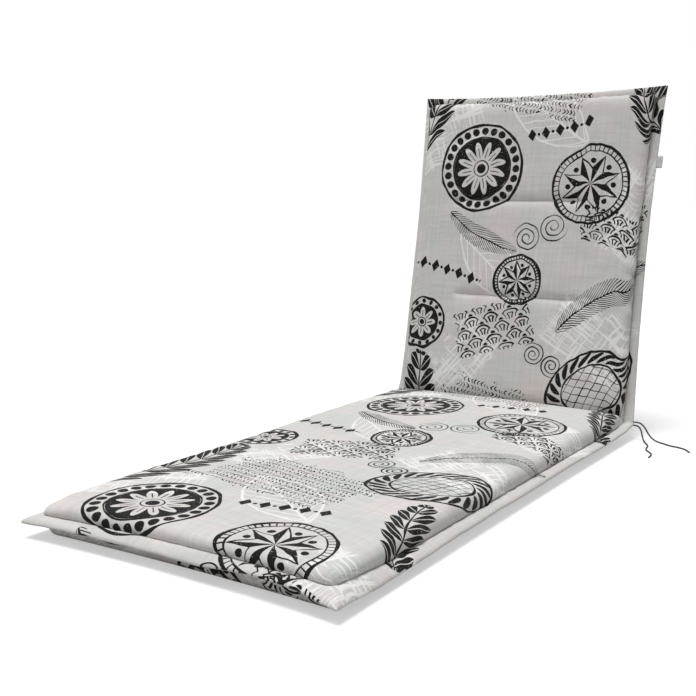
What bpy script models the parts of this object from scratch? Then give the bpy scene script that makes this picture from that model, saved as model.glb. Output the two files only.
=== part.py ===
# A sun lounger cushion: one long filled pad, its seat lying flat and its back raised at the fold.
# A flat sewn edge runs all round it, two short quilt lines cross the back, a blank tab is sewn into
# the back's right edge, and two ties hang from the right end of the fold and lie on the surface.
# Metres, +Z up. +Y runs from the foot end to the head end, and +X is the side with the ties.

import math
import bpy
import bmesh
from mathutils import Vector

# Driving dimensions of the pad, over its sewn edge
WIDTH = 0.600
SEAT_LENGTH = 1.160
BACK_LENGTH = 0.750
BACK_ANGLE = math.radians(79.5)

# Heights from the plane through the corners of the sewn edge
UNDERSIDE = 0.027
CROWN = 0.032
DOME = 0.003

# Walls of the filling: how far in from the stitching they reach full height, and how square they are
TOP_WALL = 0.030
TOP_SQUARENESS = 2.3
BOTTOM_WALL = 0.022
BOTTOM_SQUARENESS = 2.4

# Sewn edge: both covers, flat together outside the stitching
EDGE_WIDTH = 0.022
EDGE_RIM = 0.0012
EDGE_STITCHED = 0.0016
EDGE_PUFF = 0.0021
EAR_RADIUS = 0.003
PAD_CORNER = 0.030

# How far each edge is drawn in between its corners, by the filling
DRAWN_IN = {
    "foot": 0.013,
    "seat_left": 0.004,
    "seat_right": 0.003,
    "back_left": 0.009,
    "back_right": 0.011,
    "head": 0.008,
}
END_REACH = 0.20

# The stitching lies above the plane of the corners, and the edge hangs down from it.
# At the fold the edge is pinched up into the corner between seat and back.
FOOT_STITCH_RISE = {"left": 0.006, "middle": 0.012, "right": 0.010}
SIDE_STITCH_RISE = 0.004
SIDE_RISE_ENDS = {"full": 0.45, "none": 0.85}
RIGHT_CORNER_SAG = 0.006
SAG_ENDS = 0.85
FOLD_EDGE_RISE = 0.005
FOLD_RISE_REACH = 0.060

# Swelling of the seat along its middle
SWELL = [
    {"from_foot": 0.00, "rise": 0.000},
    {"from_foot": 0.25, "rise": 0.003},
    {"from_foot": 0.50, "rise": 0.001},
    {"from_foot": 0.85, "rise": 0.009},
    {"from_foot": 1.08, "rise": 0.006},
    {"from_foot": 1.16, "rise": 0.004},
]

# The fold: how steeply the filling rises from it on the inner side, and how suddenly it levels out
FOLD_SLOPE = 1.08
FOLD_LEVELLING = 4.0
FOLD_BOTTOM_WALL = 0.070
FOLD_BOTTOM_ROUNDNESS = 2.0

# Short quilt lines sewn through the back
QUILT_LINES = [
    {"from_fold": 0.266, "left": -0.135, "right": 0.135},
    {"from_fold": 0.490, "left": -0.165, "right": 0.125},
]
QUILT_FRONT_DEPTH = 0.009
QUILT_REAR_DEPTH = 0.006
QUILT_HALF_WIDTH = 0.010
QUILT_FADE = 0.030

# Distances of the mesh lines from an edge, from the fold and from a quilt line
EDGE_LINES = [0, 0.004, 0.011, 0.018, 0.022, 0.024, 0.028, 0.034, 0.042, 0.052]
FOLD_LINES = [0.009, 0.013, 0.018, 0.025, 0.034, 0.046]
QUILT_OFFSETS = [-0.022, -0.010, 0, 0.010, 0.022]
CELLS_ACROSS = 10
CELLS_ALONG_SEAT = 18
CELLS_BETWEEN_QUILTS = 4

# Gap between pieces that touch
GAP = 0.0003

# Tab in the back's right edge
TAB_FROM_FOLD = 0.581
TAB_HEIGHT = 0.026
TAB_REACH = 0.0125
TAB_THICKNESS = 0.0014

# Ties: x from the right edge's corner line, y from the fold, z above the surface
TIE_DIAMETER = 0.0035
TIE_STEP = 0.0080
LOWER_TIE = [
    (0.0003, -0.0052, 0.0315),
    (0.0062, -0.0052, 0.0312),
    (0.0118, -0.0058, 0.0290),
    (0.0162, -0.0076, 0.0246),
    (0.0196, -0.0108, 0.0190),
    (0.0226, -0.0152, 0.0134),
    (0.0262, -0.0208, 0.0084),
    (0.0308, -0.0274, 0.0048),
    (0.0366, -0.0350, 0.0027),
    (0.0428, -0.0440, 0.0019),
    (0.0472, -0.0546, 0.0018),
    (0.0492, -0.0662, 0.0018),
    (0.0512, -0.0780, 0.0018),
    (0.0556, -0.0892, 0.0018),
    (0.0626, -0.0992, 0.0018),
    (0.0700, -0.1090, 0.0018),
    (0.0750, -0.1200, 0.0018),
    (0.0768, -0.1322, 0.0018),
    (0.0774, -0.1444, 0.0018),
]
UPPER_TIE = [
    (-0.0009, -0.0024, 0.0376),
    (0.0058, -0.0024, 0.0381),
    (0.0124, -0.0020, 0.0370),
    (0.0178, -0.0016, 0.0338),
    (0.0226, -0.0014, 0.0290),
    (0.0268, -0.0016, 0.0232),
    (0.0310, -0.0022, 0.0172),
    (0.0358, -0.0032, 0.0116),
    (0.0416, -0.0048, 0.0070),
    (0.0488, -0.0070, 0.0038),
    (0.0576, -0.0100, 0.0022),
    (0.0674, -0.0146, 0.0018),
    (0.0772, -0.0208, 0.0018),
    (0.0880, -0.0262, 0.0018),
    (0.0998, -0.0294, 0.0018),
    (0.1114, -0.0336, 0.0018),
    (0.1214, -0.0406, 0.0018),
    (0.1290, -0.0500, 0.0018),
    (0.1358, -0.0600, 0.0018),
]

LENGTH = SEAT_LENGTH + BACK_LENGTH
HALF_WIDTH = WIDTH / 2
CORNER_REACH = EDGE_WIDTH + PAD_CORNER


def clear_scene():
    for obj in list(bpy.data.objects):
        bpy.data.objects.remove(obj)


def cloth_material(name, colour, roughness):
    material = bpy.data.materials.new(name)
    material.use_nodes = True
    shader = material.node_tree.nodes["Principled BSDF"]
    shader.inputs["Base Color"].default_value = (*colour, 1.0)
    shader.inputs["Roughness"].default_value = roughness
    shader.inputs["Metallic"].default_value = 0.0
    return material


def limited(value):
    return min(max(value, 0.0), 1.0)


def eased(value):
    share = limited(value)
    return share * share * (3 - 2 * share)


def mixed(first, second, share):
    return first + (second - first) * share


def evenly(start, end, cells):
    """The places of the lines that cut a stretch into equal cells, without its ends."""
    return [mixed(start, end, k / cells) for k in range(1, cells)]


def wall(inset, reach, squareness):
    """The share of its full height that a wall of the filling has, this far in from the stitching."""
    left = 1 - limited(inset / reach)
    return (1 - left**squareness) ** (1 / squareness)


def bow(share, fullness=0.65):
    """0 at both ends of an edge and 1 in its middle."""
    return math.sin(math.pi * limited(share)) ** fullness


def lines_across():
    """Distances of the lengthwise mesh lines from the left edge."""
    middle = evenly(EDGE_LINES[-1], WIDTH - EDGE_LINES[-1], CELLS_ACROSS)
    return EDGE_LINES + middle + [WIDTH - d for d in reversed(EDGE_LINES)]


def lines_along():
    """Distances of the crosswise mesh lines from the foot edge, over the fold to the head edge."""
    fold = [-d for d in reversed(FOLD_LINES)] + [0] + FOLD_LINES
    fold = [SEAT_LENGTH + d for d in fold]
    lines = EDGE_LINES + evenly(EDGE_LINES[-1], fold[0], CELLS_ALONG_SEAT) + fold
    for quilt in QUILT_LINES:
        centre = SEAT_LENGTH + quilt["from_fold"]
        quilted = [centre + offset for offset in QUILT_OFFSETS]
        lines += evenly(lines[-1], quilted[0], CELLS_BETWEEN_QUILTS) + quilted
    head = [LENGTH - d for d in reversed(EDGE_LINES)]
    return lines + evenly(lines[-1], head[0], CELLS_BETWEEN_QUILTS) + head


def rounded_corner(from_side, from_end):
    """Moves a point near a free corner so that the mesh lines bend round it.

    The edge keeps its square ear, and the lines get rounder up to the stitching."""
    near, far = sorted((from_side, from_end))
    if far >= CORNER_REACH:
        return from_side, from_end
    if near < EDGE_WIDTH:
        radius = mixed(EAR_RADIUS, PAD_CORNER, near / EDGE_WIDTH)
    else:
        radius = CORNER_REACH - near
    if radius <= 0:
        return from_side, from_end
    arc = radius * math.pi / 4
    straight = CORNER_REACH - near - radius
    run = (far - near) / (CORNER_REACH - near) * (arc + straight)
    centre = near + radius
    if run < arc:
        angle = math.pi / 4 - run / radius
        low = centre - radius * math.cos(angle)
        high = centre - radius * math.sin(angle)
    else:
        low = near
        high = centre + run - arc
    return (low, high) if from_side <= from_end else (high, low)


def drawn_in_side(side, along):
    """How far a side edge is drawn in, this far along from the foot."""
    if along < SEAT_LENGTH:
        return DRAWN_IN["seat_" + side] * bow(along / SEAT_LENGTH)
    return DRAWN_IN["back_" + side] * bow((along - SEAT_LENGTH) / BACK_LENGTH)


def stitch_rise(across, along):
    """Height of the stitching over the plane of the corners, on the seat."""
    ends = SIDE_RISE_ENDS
    side = SIDE_STITCH_RISE * (1 - eased((along - ends["full"]) / (ends["none"] - ends["full"])))
    share = limited(0.5 + across / WIDTH)
    left, middle, right = FOOT_STITCH_RISE.values()
    foot = mixed(left, right, share) + (middle - (left + right) / 2) * bow(share, 1)
    return mixed(foot, side, eased(along / END_REACH))


def edge_sag(across, along):
    """How far the edge hangs down towards the foot's right corner."""
    return RIGHT_CORNER_SAG * eased(2 * across / HALF_WIDTH - 1) * (1 - eased(along / SAG_ENDS))


def swelling(along):
    for start, end in zip(SWELL, SWELL[1:]):
        if along <= end["from_foot"]:
            span = end["from_foot"] - start["from_foot"]
            return mixed(start["rise"], end["rise"], eased((along - start["from_foot"]) / span))
    return SWELL[-1]["rise"]


def edge_half_thickness(level):
    """Half the thickness of the sewn edge, this far in from its rim."""
    share = limited(level / EDGE_WIDTH)
    flat = mixed(EDGE_RIM, EDGE_STITCHED, share)
    return flat + EDGE_PUFF * math.sqrt(max(math.sin(math.pi * share), 0.0))


def quilting(across, from_fold):
    """The share of its full depth that a quilt line has here."""
    depth = 0.0
    for quilt in QUILT_LINES:
        away = (from_fold - quilt["from_fold"]) / QUILT_HALF_WIDTH
        left = eased((across - quilt["left"] + QUILT_FADE) / QUILT_FADE)
        right = eased((quilt["right"] + QUILT_FADE - across) / QUILT_FADE)
        depth += math.exp(-away * away) * left * right
    return depth


def below_fold(from_fold, stitched, full):
    """Height of the upper cover where seat and back press together in the fold.

    It climbs from the crease on a slope that stays clear of the plane half way between them,
    and levels out at its full height."""
    crease = stitched * math.tan(BACK_ANGLE / 2)
    if full <= stitched or from_fold <= crease:
        return stitched
    steep = FOLD_SLOPE * (from_fold - crease) / (full - stitched)
    share = steep / (1 + steep**FOLD_LEVELLING) ** (1 / FOLD_LEVELLING)
    return mixed(stitched, full, share)


def surface_heights(across, along, level):
    """Heights of the upper and lower cover over the plane of the corners."""
    on_seat = along <= SEAT_LENGTH
    from_fold = abs(along - SEAT_LENGTH)
    inset = level - EDGE_WIDTH
    half = edge_half_thickness(level)
    pinched = FOLD_EDGE_RISE * (1 - eased(from_fold / FOLD_RISE_REACH))
    dome = DOME * (1 - min(abs(across) / HALF_WIDTH, 1) ** 2)
    if on_seat:
        stitched = stitch_rise(across, along)
        middle = mixed(-edge_sag(across, along), stitched, limited(level / EDGE_WIDTH))
        middle += pinched
        crown = CROWN + dome + swelling(along) * (1 - 0.6 * (across / HALF_WIDTH) ** 2)
        bottom = -UNDERSIDE
    else:
        middle = pinched
        quilt = quilting(across, from_fold)
        crown = CROWN + dome - QUILT_FRONT_DEPTH * quilt
        bottom = -UNDERSIDE - dome + QUILT_REAR_DEPTH * quilt
    if inset <= 0:
        return middle + half, middle - half
    top = mixed(middle + half, crown, wall(inset, TOP_WALL, TOP_SQUARENESS))
    bottom_share = wall(inset, BOTTOM_WALL, BOTTOM_SQUARENESS)
    bottom_share *= wall(from_fold, FOLD_BOTTOM_WALL, FOLD_BOTTOM_ROUNDNESS)
    bottom = mixed(middle - half, bottom, bottom_share)
    return below_fold(from_fold, middle + half, top), bottom


def in_place(across, along, height):
    """The place of a point of the pad, in metres from the foot edge's middle, with the seat level."""
    if along < SEAT_LENGTH:
        return Vector((across, along, UNDERSIDE + height))
    from_fold = along - SEAT_LENGTH
    lean = BACK_ANGLE
    if from_fold == 0:
        # The fold itself faces half way between the seat and the back
        lean = BACK_ANGLE / 2
        height /= math.cos(lean)
    up_the_back = Vector((0, math.cos(BACK_ANGLE), math.sin(BACK_ANGLE))) * from_fold
    out_of_it = Vector((0, -math.sin(lean), math.cos(lean))) * height
    return Vector((across, SEAT_LENGTH, UNDERSIDE)) + up_the_back + out_of_it


def pad_point(from_left, along, upper):
    """Where a crossing of two mesh lines lies, on the upper or the lower cover."""
    side = "left" if from_left < HALF_WIDTH else "right"
    from_side = min(from_left, WIDTH - from_left)
    from_end = min(along, LENGTH - along)
    level = min(from_side, from_end)
    from_side, from_end = rounded_corner(from_side, from_end)
    end = "foot" if along < LENGTH / 2 else "head"
    along = from_end if end == "foot" else LENGTH - from_end
    across_share = from_side / WIDTH if side == "left" else 1 - from_side / WIDTH
    from_side += drawn_in_side(side, along) * (1 - from_side / HALF_WIDTH) ** 2
    pulled = DRAWN_IN[end] * bow(across_share) * (1 - limited(from_end / END_REACH)) ** 2
    along += pulled if end == "foot" else -pulled
    across = from_side - HALF_WIDTH if side == "left" else HALF_WIDTH - from_side
    heights = surface_heights(across, along, level)
    return in_place(across, along, heights[0] if upper else heights[1])


def make_cushion():
    """The pad with its sewn edge: a grid for the upper cover, extruded into the lower one."""
    across = lines_across()
    along = lines_along()
    bm = bmesh.new()
    cells = len(across) - 1, len(along) - 1
    bmesh.ops.create_grid(bm, x_segments=cells[0], y_segments=cells[1], size=0.5)
    column = bm.verts.layers.int.new("column")
    row = bm.verts.layers.int.new("row")
    for vertex in bm.verts:
        vertex[column] = round((vertex.co.x + 0.5) * cells[0])
        vertex[row] = round((vertex.co.y + 0.5) * cells[1])
    made = bmesh.ops.extrude_face_region(bm, geom=bm.faces[:], use_keep_orig=True)
    lower = {item for item in made["geom"] if isinstance(item, bmesh.types.BMVert)}
    for vertex in bm.verts:
        place = pad_point(across[vertex[column]], along[vertex[row]], vertex not in lower)
        vertex.co = place
    bmesh.ops.recalc_face_normals(bm, faces=bm.faces[:])
    material = cloth_material("printed_cover", (0.52, 0.49, 0.46), 0.85)
    return finished(bm, "cushion", material)


def make_side_label():
    """A folded blank tab that stands out of the back's right edge."""
    bm = bmesh.new()
    bmesh.ops.create_cube(bm, size=1)
    for vertex in bm.verts:
        along = SEAT_LENGTH + TAB_FROM_FOLD + vertex.co.y * TAB_HEIGHT
        edge = HALF_WIDTH - drawn_in_side("right", along)
        across = edge + GAP + (vertex.co.x + 0.5) * TAB_REACH
        vertex.co = in_place(across, along, vertex.co.z * TAB_THICKNESS)
    outer = [e for e in bm.edges if all(v.co.x > HALF_WIDTH for v in e.verts)]
    outer = [e for e in outer if e.calc_length() > TAB_HEIGHT / 2]
    bmesh.ops.bevel(
        bm,
        geom=outer,
        offset=TAB_THICKNESS * 0.45,
        offset_type="OFFSET",
        affect="EDGES",
        segments=3,
        profile=0.5,
        material=-1,
    )
    bmesh.ops.recalc_face_normals(bm, faces=bm.faces[:])
    return finished(bm, "side_label", cloth_material("label_tape", (0.80, 0.80, 0.79), 0.7))


def finished(bm, name, material):
    mesh = bpy.data.meshes.new(name)
    bm.to_mesh(mesh)
    bm.free()
    mesh.materials.append(material)
    mesh.shade_smooth()
    mesh.set_sharp_from_angle(angle=math.radians(50))
    obj = bpy.data.objects.new(name, mesh)
    bpy.context.scene.collection.objects.link(obj)
    return obj


def smooth_route(points, step):
    """Evenly spaced places on a Catmull-Rom curve through the points."""
    spots = [Vector(p) for p in points]
    padded = [2 * spots[0] - spots[1]] + spots + [2 * spots[-1] - spots[-2]]
    fine = []
    for before, start, end, after in zip(padded, padded[1:], padded[2:], padded[3:]):
        for k in range(16):
            t = k / 16
            fine.append(
                0.5
                * (
                    2 * start
                    + (end - before) * t
                    + (2 * before - 5 * start + 4 * end - after) * t**2
                    + (3 * start - before - 3 * end + after) * t**3
                )
            )
    fine.append(spots[-1])
    travelled = [0.0]
    for start, end in zip(fine, fine[1:]):
        travelled.append(travelled[-1] + (end - start).length)
    count = round(travelled[-1] / step)
    route = []
    for k in range(count + 1):
        wanted = travelled[-1] * k / count
        at = max(i for i, d in enumerate(travelled) if d <= wanted + 1e-9)
        after = min(at + 1, len(fine) - 1)
        span = travelled[after] - travelled[at]
        route.append(fine[at].lerp(fine[after], (wanted - travelled[at]) / span if span else 0))
    return route


def make_tie(name, points, material):
    """A thin cord from the sewn edge at the fold down to the surface."""
    curve = bpy.data.curves.new(name, "CURVE")
    curve.dimensions = "3D"
    curve.bevel_depth = TIE_DIAMETER / 2
    curve.bevel_resolution = 2
    curve.use_fill_caps = True
    corner = Vector((HALF_WIDTH, SEAT_LENGTH, 0))
    route = smooth_route(points, TIE_STEP)
    spline = curve.splines.new("POLY")
    spline.points.add(len(route) - 1)
    for point, place in zip(spline.points, route):
        point.co = (*(corner + place), 1)
    curve.materials.append(material)
    obj = bpy.data.objects.new(name, curve)
    bpy.context.scene.collection.objects.link(obj)
    return obj


def stand_on_origin(pad_pieces, all_pieces):
    """Puts the origin under the middle of the pad's box, at the level that it rests on."""
    places = [vertex.co for piece in pad_pieces for vertex in piece.data.vertices]
    low = [min(place[axis] for place in places) for axis in range(3)]
    high = [max(place[axis] for place in places) for axis in range(3)]
    frame = bpy.data.objects.new("cushion_frame", None)
    frame.location = (-(low[0] + high[0]) / 2, -(low[1] + high[1]) / 2, -low[2])
    bpy.context.scene.collection.objects.link(frame)
    for piece in all_pieces:
        piece.parent = frame
    print("size", [round(b - a, 4) for a, b in zip(low, high)])
    print("frame at", [round(value, 5) for value in frame.location])


def main():
    clear_scene()
    cushion = make_cushion()
    label = make_side_label()
    tie_cloth = cloth_material("tie_cord", (0.10, 0.10, 0.10), 0.8)
    lower_tie = make_tie("lower_tie", LOWER_TIE, tie_cloth)
    upper_tie = make_tie("upper_tie", UPPER_TIE, tie_cloth)
    stand_on_origin([cushion, label], [cushion, label, lower_tie, upper_tie])


main()
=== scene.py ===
import math
import bpy
import bmesh
from mathutils import Euler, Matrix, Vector, noise


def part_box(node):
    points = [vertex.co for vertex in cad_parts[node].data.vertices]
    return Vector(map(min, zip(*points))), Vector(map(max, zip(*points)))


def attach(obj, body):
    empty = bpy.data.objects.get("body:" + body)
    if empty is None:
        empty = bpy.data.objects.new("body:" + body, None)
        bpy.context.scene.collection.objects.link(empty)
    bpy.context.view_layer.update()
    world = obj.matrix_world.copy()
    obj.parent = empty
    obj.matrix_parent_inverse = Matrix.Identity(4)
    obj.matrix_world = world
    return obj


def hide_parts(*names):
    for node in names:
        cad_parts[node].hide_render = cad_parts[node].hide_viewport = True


# Sun lounger cushion: printed cover, sewn edge, quilt lines and stitches, blank tab and two ties
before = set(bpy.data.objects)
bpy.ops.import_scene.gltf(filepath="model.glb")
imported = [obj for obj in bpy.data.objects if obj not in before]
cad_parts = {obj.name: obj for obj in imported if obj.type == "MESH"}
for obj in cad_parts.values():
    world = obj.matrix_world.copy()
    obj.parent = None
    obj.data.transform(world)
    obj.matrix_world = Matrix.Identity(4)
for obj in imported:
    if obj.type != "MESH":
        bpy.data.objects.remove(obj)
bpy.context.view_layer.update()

studio = {
    "floorSize": 60.0,
    "floorColour": (0.55, 0.55, 0.55),
    "floorGlow": (0.46, 0.46, 0.46),     # lit from below too, which keeps the shadow on it faint
    "floorBounce": (0.50, 0.50, 0.50),
    "worldStrength": 0.43,
    "backdrop": 1.0,
    "worldColour": (1.0, 1.0, 1.0),
    "cameraPlace": (0.97996, -1.00018, 0.51555),   # from the foot edge's middle, over the corners' plane
    "cameraTurn": (81.121, 0.117, 33.483),          # degrees
    "lens": 52.794,
    "sensor": 36.0,
}

pad = {
    "width": 0.600,
    "seatLength": 1.160,
    "backLength": 0.750,
    "backAngle": math.radians(79.5),
    "underside": 0.027,
    "crown": 0.032,
    "dome": 0.003,
    "topWall": 0.026,
    "bottomWall": 0.022,
    "bottomSquareness": 2.4,
    "edgeWidth": 0.022,
    "edgeRim": 0.0012,
    "edgeStitched": 0.0008,
    "edgePuff": {"seat": 0.0044, "back": 0.0032},
    "edgeUnder": 0.72,         # its lower half is flatter
    "edgeDroop": 0.0034,       # and its rim hangs lower than the stitching, on the seat's sides
    "earRadius": 0.003,
    "footTip": 0.00115,        # the foot's rounded ears end this far inside the corners
    "padCorner": 0.016,
    "cornerTaper": 0.013,      # the filling thins out towards the foot's left corner
    "taperReach": 0.095,
    "foldLeanLimit": 0.65,     # by the fold the wall leans out by no more than this share of its inset
    "wallReach": 0.030,        # the wall's shape and its gathers end this far in from the stitching
    "wallFade": 0.006,
    "endReach": 0.20,
    "sideStitchRise": -0.001,
    "sideRiseFull": 0.45,
    "sideRiseNone": 0.85,
    "cornerSag": 0.006,
    "sagEnds": 0.85,
    "foldEdgeRise": 0.005,
    "foldRiseReach": 0.060,
    "foldSlope": 1.08,
    "foldLevelling": 4.0,
    "foldBottomWall": 0.070,
    "quiltFrontDepth": 0.0095,
    "quiltRearDepth": 0.006,
    "quiltHalfWidth": 0.0098,
    "quiltSharpness": 0.95,
    "quiltFade": 0.030,
    "cell": 0.0058,            # spacing of the mesh lines over the middle of the pad
}
pad["length"] = pad["seatLength"] + pad["backLength"]
pad["half"] = pad["width"] / 2
pad["cornerReach"] = pad["edgeWidth"] + pad["padCorner"]

drawnIn = {
    "foot": 0.013,
    "seatLeft": 0.004,
    "seatRight": 0.003,
    "backLeft": 0.009,
    "backRight": 0.011,
    "head": 0.008,
}
# The foot's sewn edge lifts between the middle and the right corner
footEdgeLift = [
    {"across": -0.300, "lift": 0.0000},
    {"across": 0.040, "lift": 0.0000},
    {"across": 0.150, "lift": 0.0065},
    {"across": 0.225, "lift": 0.0080},
    {"across": 0.300, "lift": 0.0000},
]
footStitchRise = {"left": 0.006, "middle": 0.012, "right": 0.010}
swell = [
    {"fromFoot": 0.00, "rise": 0.000},
    {"fromFoot": 0.25, "rise": 0.003},
    {"fromFoot": 0.50, "rise": 0.001},
    {"fromFoot": 0.85, "rise": 0.009},
    {"fromFoot": 1.08, "rise": 0.006},
    {"fromFoot": 1.16, "rise": 0.004},
]
quiltLines = [
    {"fromFold": 0.266, "left": -0.135, "right": 0.135},
    {"fromFold": 0.490, "left": -0.165, "right": 0.125},
]
edgeLines = [0, 0.0012, 0.0035, 0.0070, 0.0110, 0.0150, 0.0185, 0.0207, 0.0216, 0.0220, 0.0224, 0.0231,
             0.0242, 0.0255, 0.0270, 0.0290, 0.0315, 0.0345, 0.0380, 0.0420, 0.0465, 0.0520]
# The upper wall by mesh line: how far it leans out of its line's place, and its share of the height
wallShape = [
    {"inset": 0.0000, "out": 0.0000, "rise": 0.000},
    {"inset": 0.0004, "out": 0.0004, "rise": 0.030},
    {"inset": 0.0011, "out": 0.0018, "rise": 0.085},
    {"inset": 0.0022, "out": 0.0042, "rise": 0.175},
    {"inset": 0.0035, "out": 0.0064, "rise": 0.290},
    {"inset": 0.0050, "out": 0.0080, "rise": 0.420},
    {"inset": 0.0070, "out": 0.0094, "rise": 0.560},
    {"inset": 0.0095, "out": 0.0100, "rise": 0.705},
    {"inset": 0.0125, "out": 0.0096, "rise": 0.830},
    {"inset": 0.0160, "out": 0.0084, "rise": 0.915},
    {"inset": 0.0200, "out": 0.0064, "rise": 0.965},
    {"inset": 0.0245, "out": 0.0035, "rise": 0.990},
    {"inset": 0.0300, "out": 0.0000, "rise": 1.000},
]
foldLines = [0.0085, 0.0105, 0.0130, 0.0160, 0.0195, 0.0235, 0.0280, 0.0335, 0.0400, 0.0470]
quiltOffsets = [-0.024, -0.018, -0.013, -0.009, -0.0055, -0.0025, 0,
                0.0025, 0.0055, 0.009, 0.013, 0.018, 0.024]

# The frame says where the pad stands
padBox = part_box("cushion")
padPlace = Vector((padBox[0][0] + pad["half"], padBox[0][1] - pad["footTip"], 0))


def limited(value):
    return min(max(value, 0.0), 1.0)


def eased(value):
    share = limited(value)
    return share * share * (3 - 2 * share)


def mixed(first, second, share):
    return first + (second - first) * share


def wall(inset, reach, squareness):
    left = 1 - limited(inset / reach)
    return (1 - left ** squareness) ** (1 / squareness)


def bow(share, fullness=0.65):
    return math.sin(math.pi * limited(share)) ** fullness


def spread(start, end, step):
    # Lines that cut a stretch into cells of about one step, without its ends
    cells = max(round((end - start) / step), 1)
    return [mixed(start, end, k / cells) for k in range(1, cells)]


def linesAcross():
    middle = spread(edgeLines[-1], pad["width"] - edgeLines[-1], pad["cell"])
    return edgeLines + middle + [pad["width"] - d for d in reversed(edgeLines)]


def linesAlong():
    fold = [-d for d in reversed(foldLines)] + [0] + foldLines
    fold = [pad["seatLength"] + d for d in fold]
    lines = edgeLines + spread(edgeLines[-1], fold[0], pad["cell"]) + fold
    for quilt in quiltLines:
        centre = pad["seatLength"] + quilt["fromFold"]
        quilted = [centre + offset for offset in quiltOffsets]
        lines += spread(lines[-1], quilted[0], pad["cell"]) + quilted
    head = [pad["length"] - d for d in reversed(edgeLines)]
    return lines + spread(lines[-1], head[0], pad["cell"]) + head


def roundedCorner(fromSide, fromEnd):
    # Bends the mesh lines round a free corner: a square ear outside, the rounded pad inside
    near, far = sorted((fromSide, fromEnd))
    if far >= pad["cornerReach"]:
        return fromSide, fromEnd
    if near < pad["edgeWidth"]:
        radius = mixed(pad["earRadius"], pad["padCorner"], near / pad["edgeWidth"])
    else:
        radius = pad["cornerReach"] - near
    if radius <= 0:
        return fromSide, fromEnd
    arc = radius * math.pi / 4
    straight = pad["cornerReach"] - near - radius
    run = (far - near) / (pad["cornerReach"] - near) * (arc + straight)
    centre = near + radius
    if run < arc:
        angle = math.pi / 4 - run / radius
        low = centre - radius * math.cos(angle)
        high = centre - radius * math.sin(angle)
    else:
        low = near
        high = centre + run - arc
    return (low, high) if fromSide <= fromEnd else (high, low)


def drawnInSide(side, along):
    if along < pad["seatLength"]:
        return drawnIn["seat" + side] * bow(along / pad["seatLength"])
    return drawnIn["back" + side] * bow((along - pad["seatLength"]) / pad["backLength"])


def stitchRise(across, along):
    side = pad["sideStitchRise"]
    side *= 1 - eased((along - pad["sideRiseFull"]) / (pad["sideRiseNone"] - pad["sideRiseFull"]))
    left, middle, right = footStitchRise.values()
    share = limited(0.5 + across / pad["width"])
    foot = mixed(left, right, share) + (middle - (left + right) / 2) * bow(share, 1)
    return mixed(foot, side, eased(along / pad["endReach"]))


def edgeSag(across, along):
    return pad["cornerSag"] * eased(2 * across / pad["half"] - 1) * (1 - eased(along / pad["sagEnds"]))


def read(table, at, value, where):
    # A table's value at a place, eased between its rows
    for start, end in zip(table, table[1:]):
        if where <= end[at]:
            share = eased((where - start[at]) / (end[at] - start[at]))
            return mixed(start[value], end[value], share)
    return table[-1][value]


def edgeHalves(level, along):
    # Thickness of the sewn edge over and under its middle
    share = limited(level / pad["edgeWidth"])
    flat = mixed(pad["edgeRim"], pad["edgeStitched"], share)
    puff = pad["edgePuff"]
    puff = mixed(puff["seat"], puff["back"], eased((along - pad["seatLength"]) / 0.06 + 0.5))
    puff *= math.sqrt(max(math.sin(math.pi * share), 0.0))
    return flat + puff, flat + puff * pad["edgeUnder"]


def quilting(across, fromFold):
    depth = 0.0
    for quilt in quiltLines:
        away = abs(fromFold - quilt["fromFold"]) / pad["quiltHalfWidth"]
        left = eased((across - quilt["left"] + pad["quiltFade"]) / pad["quiltFade"])
        right = eased((quilt["right"] + pad["quiltFade"] - across) / pad["quiltFade"])
        depth += math.exp(-away ** pad["quiltSharpness"]) * left * right
    return depth


def belowFold(fromFold, stitched, full):
    # Seat and back press together in the fold, each on its own side of the plane between them
    crease = stitched * math.tan(pad["backAngle"] / 2)
    if full <= stitched or fromFold <= crease:
        return stitched
    steep = pad["foldSlope"] * (fromFold - crease) / (full - stitched)
    share = steep / (1 + steep ** pad["foldLevelling"]) ** (1 / pad["foldLevelling"])
    return mixed(stitched, full, share)


softness = {
    "lumpHeight": 0.0018,      # broad unevenness of the filling
    "lumpScale": 7.0,
    "rippleHeight": 0.0008,
    "rippleScale": 24.0,
    "gatherDepth": 0.0046,     # folds that run up the walls from the stitching
    "gatherScale": 46.0,
    "gatherReach": 0.010,
    "cornerGather": 0.0085,    # and deeper ones round the corners
    "cornerReach": 0.090,
    "edgeWave": 0.0022,        # the sewn edge rises and falls along its length
    "edgeWaveScale": 8.0,
    "edgeCrimp": 0.0010,
    "edgeCrimpScale": 34.0,
    "quiltPucker": 0.0018,
    "quiltPuckerScale": 46.0,
    "quiltPuckerReach": 0.026,
}


def alongEdge(across, along):
    # (share of the side against the end, distance from the corner), smooth round the corners
    fromSide = pad["half"] - abs(across)
    fromEnd = min(along, pad["length"] - along)
    share = eased((fromEnd - fromSide) / 0.03 * 0.5 + 0.5)
    return share, math.hypot(min(fromSide, 1), min(fromEnd, 1))


def gathers(across, along, inset, seed):
    # How far a soft fold pushes the wall out
    share, fromCorner = alongEdge(across, along)
    scale = softness["gatherScale"]
    drift = inset * 9.0
    sideNoise = noise.noise((along * scale, drift, seed + (7 if across > 0 else 0)))
    endNoise = noise.noise((across * scale, drift, seed + 13))
    depth = softness["gatherDepth"]
    depth += softness["cornerGather"] * (1 - eased(fromCorner / softness["cornerReach"]))
    reached = inset / softness["gatherReach"]
    return mixed(endNoise, sideNoise, share) * depth * reached * math.exp(1 - reached)


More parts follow.
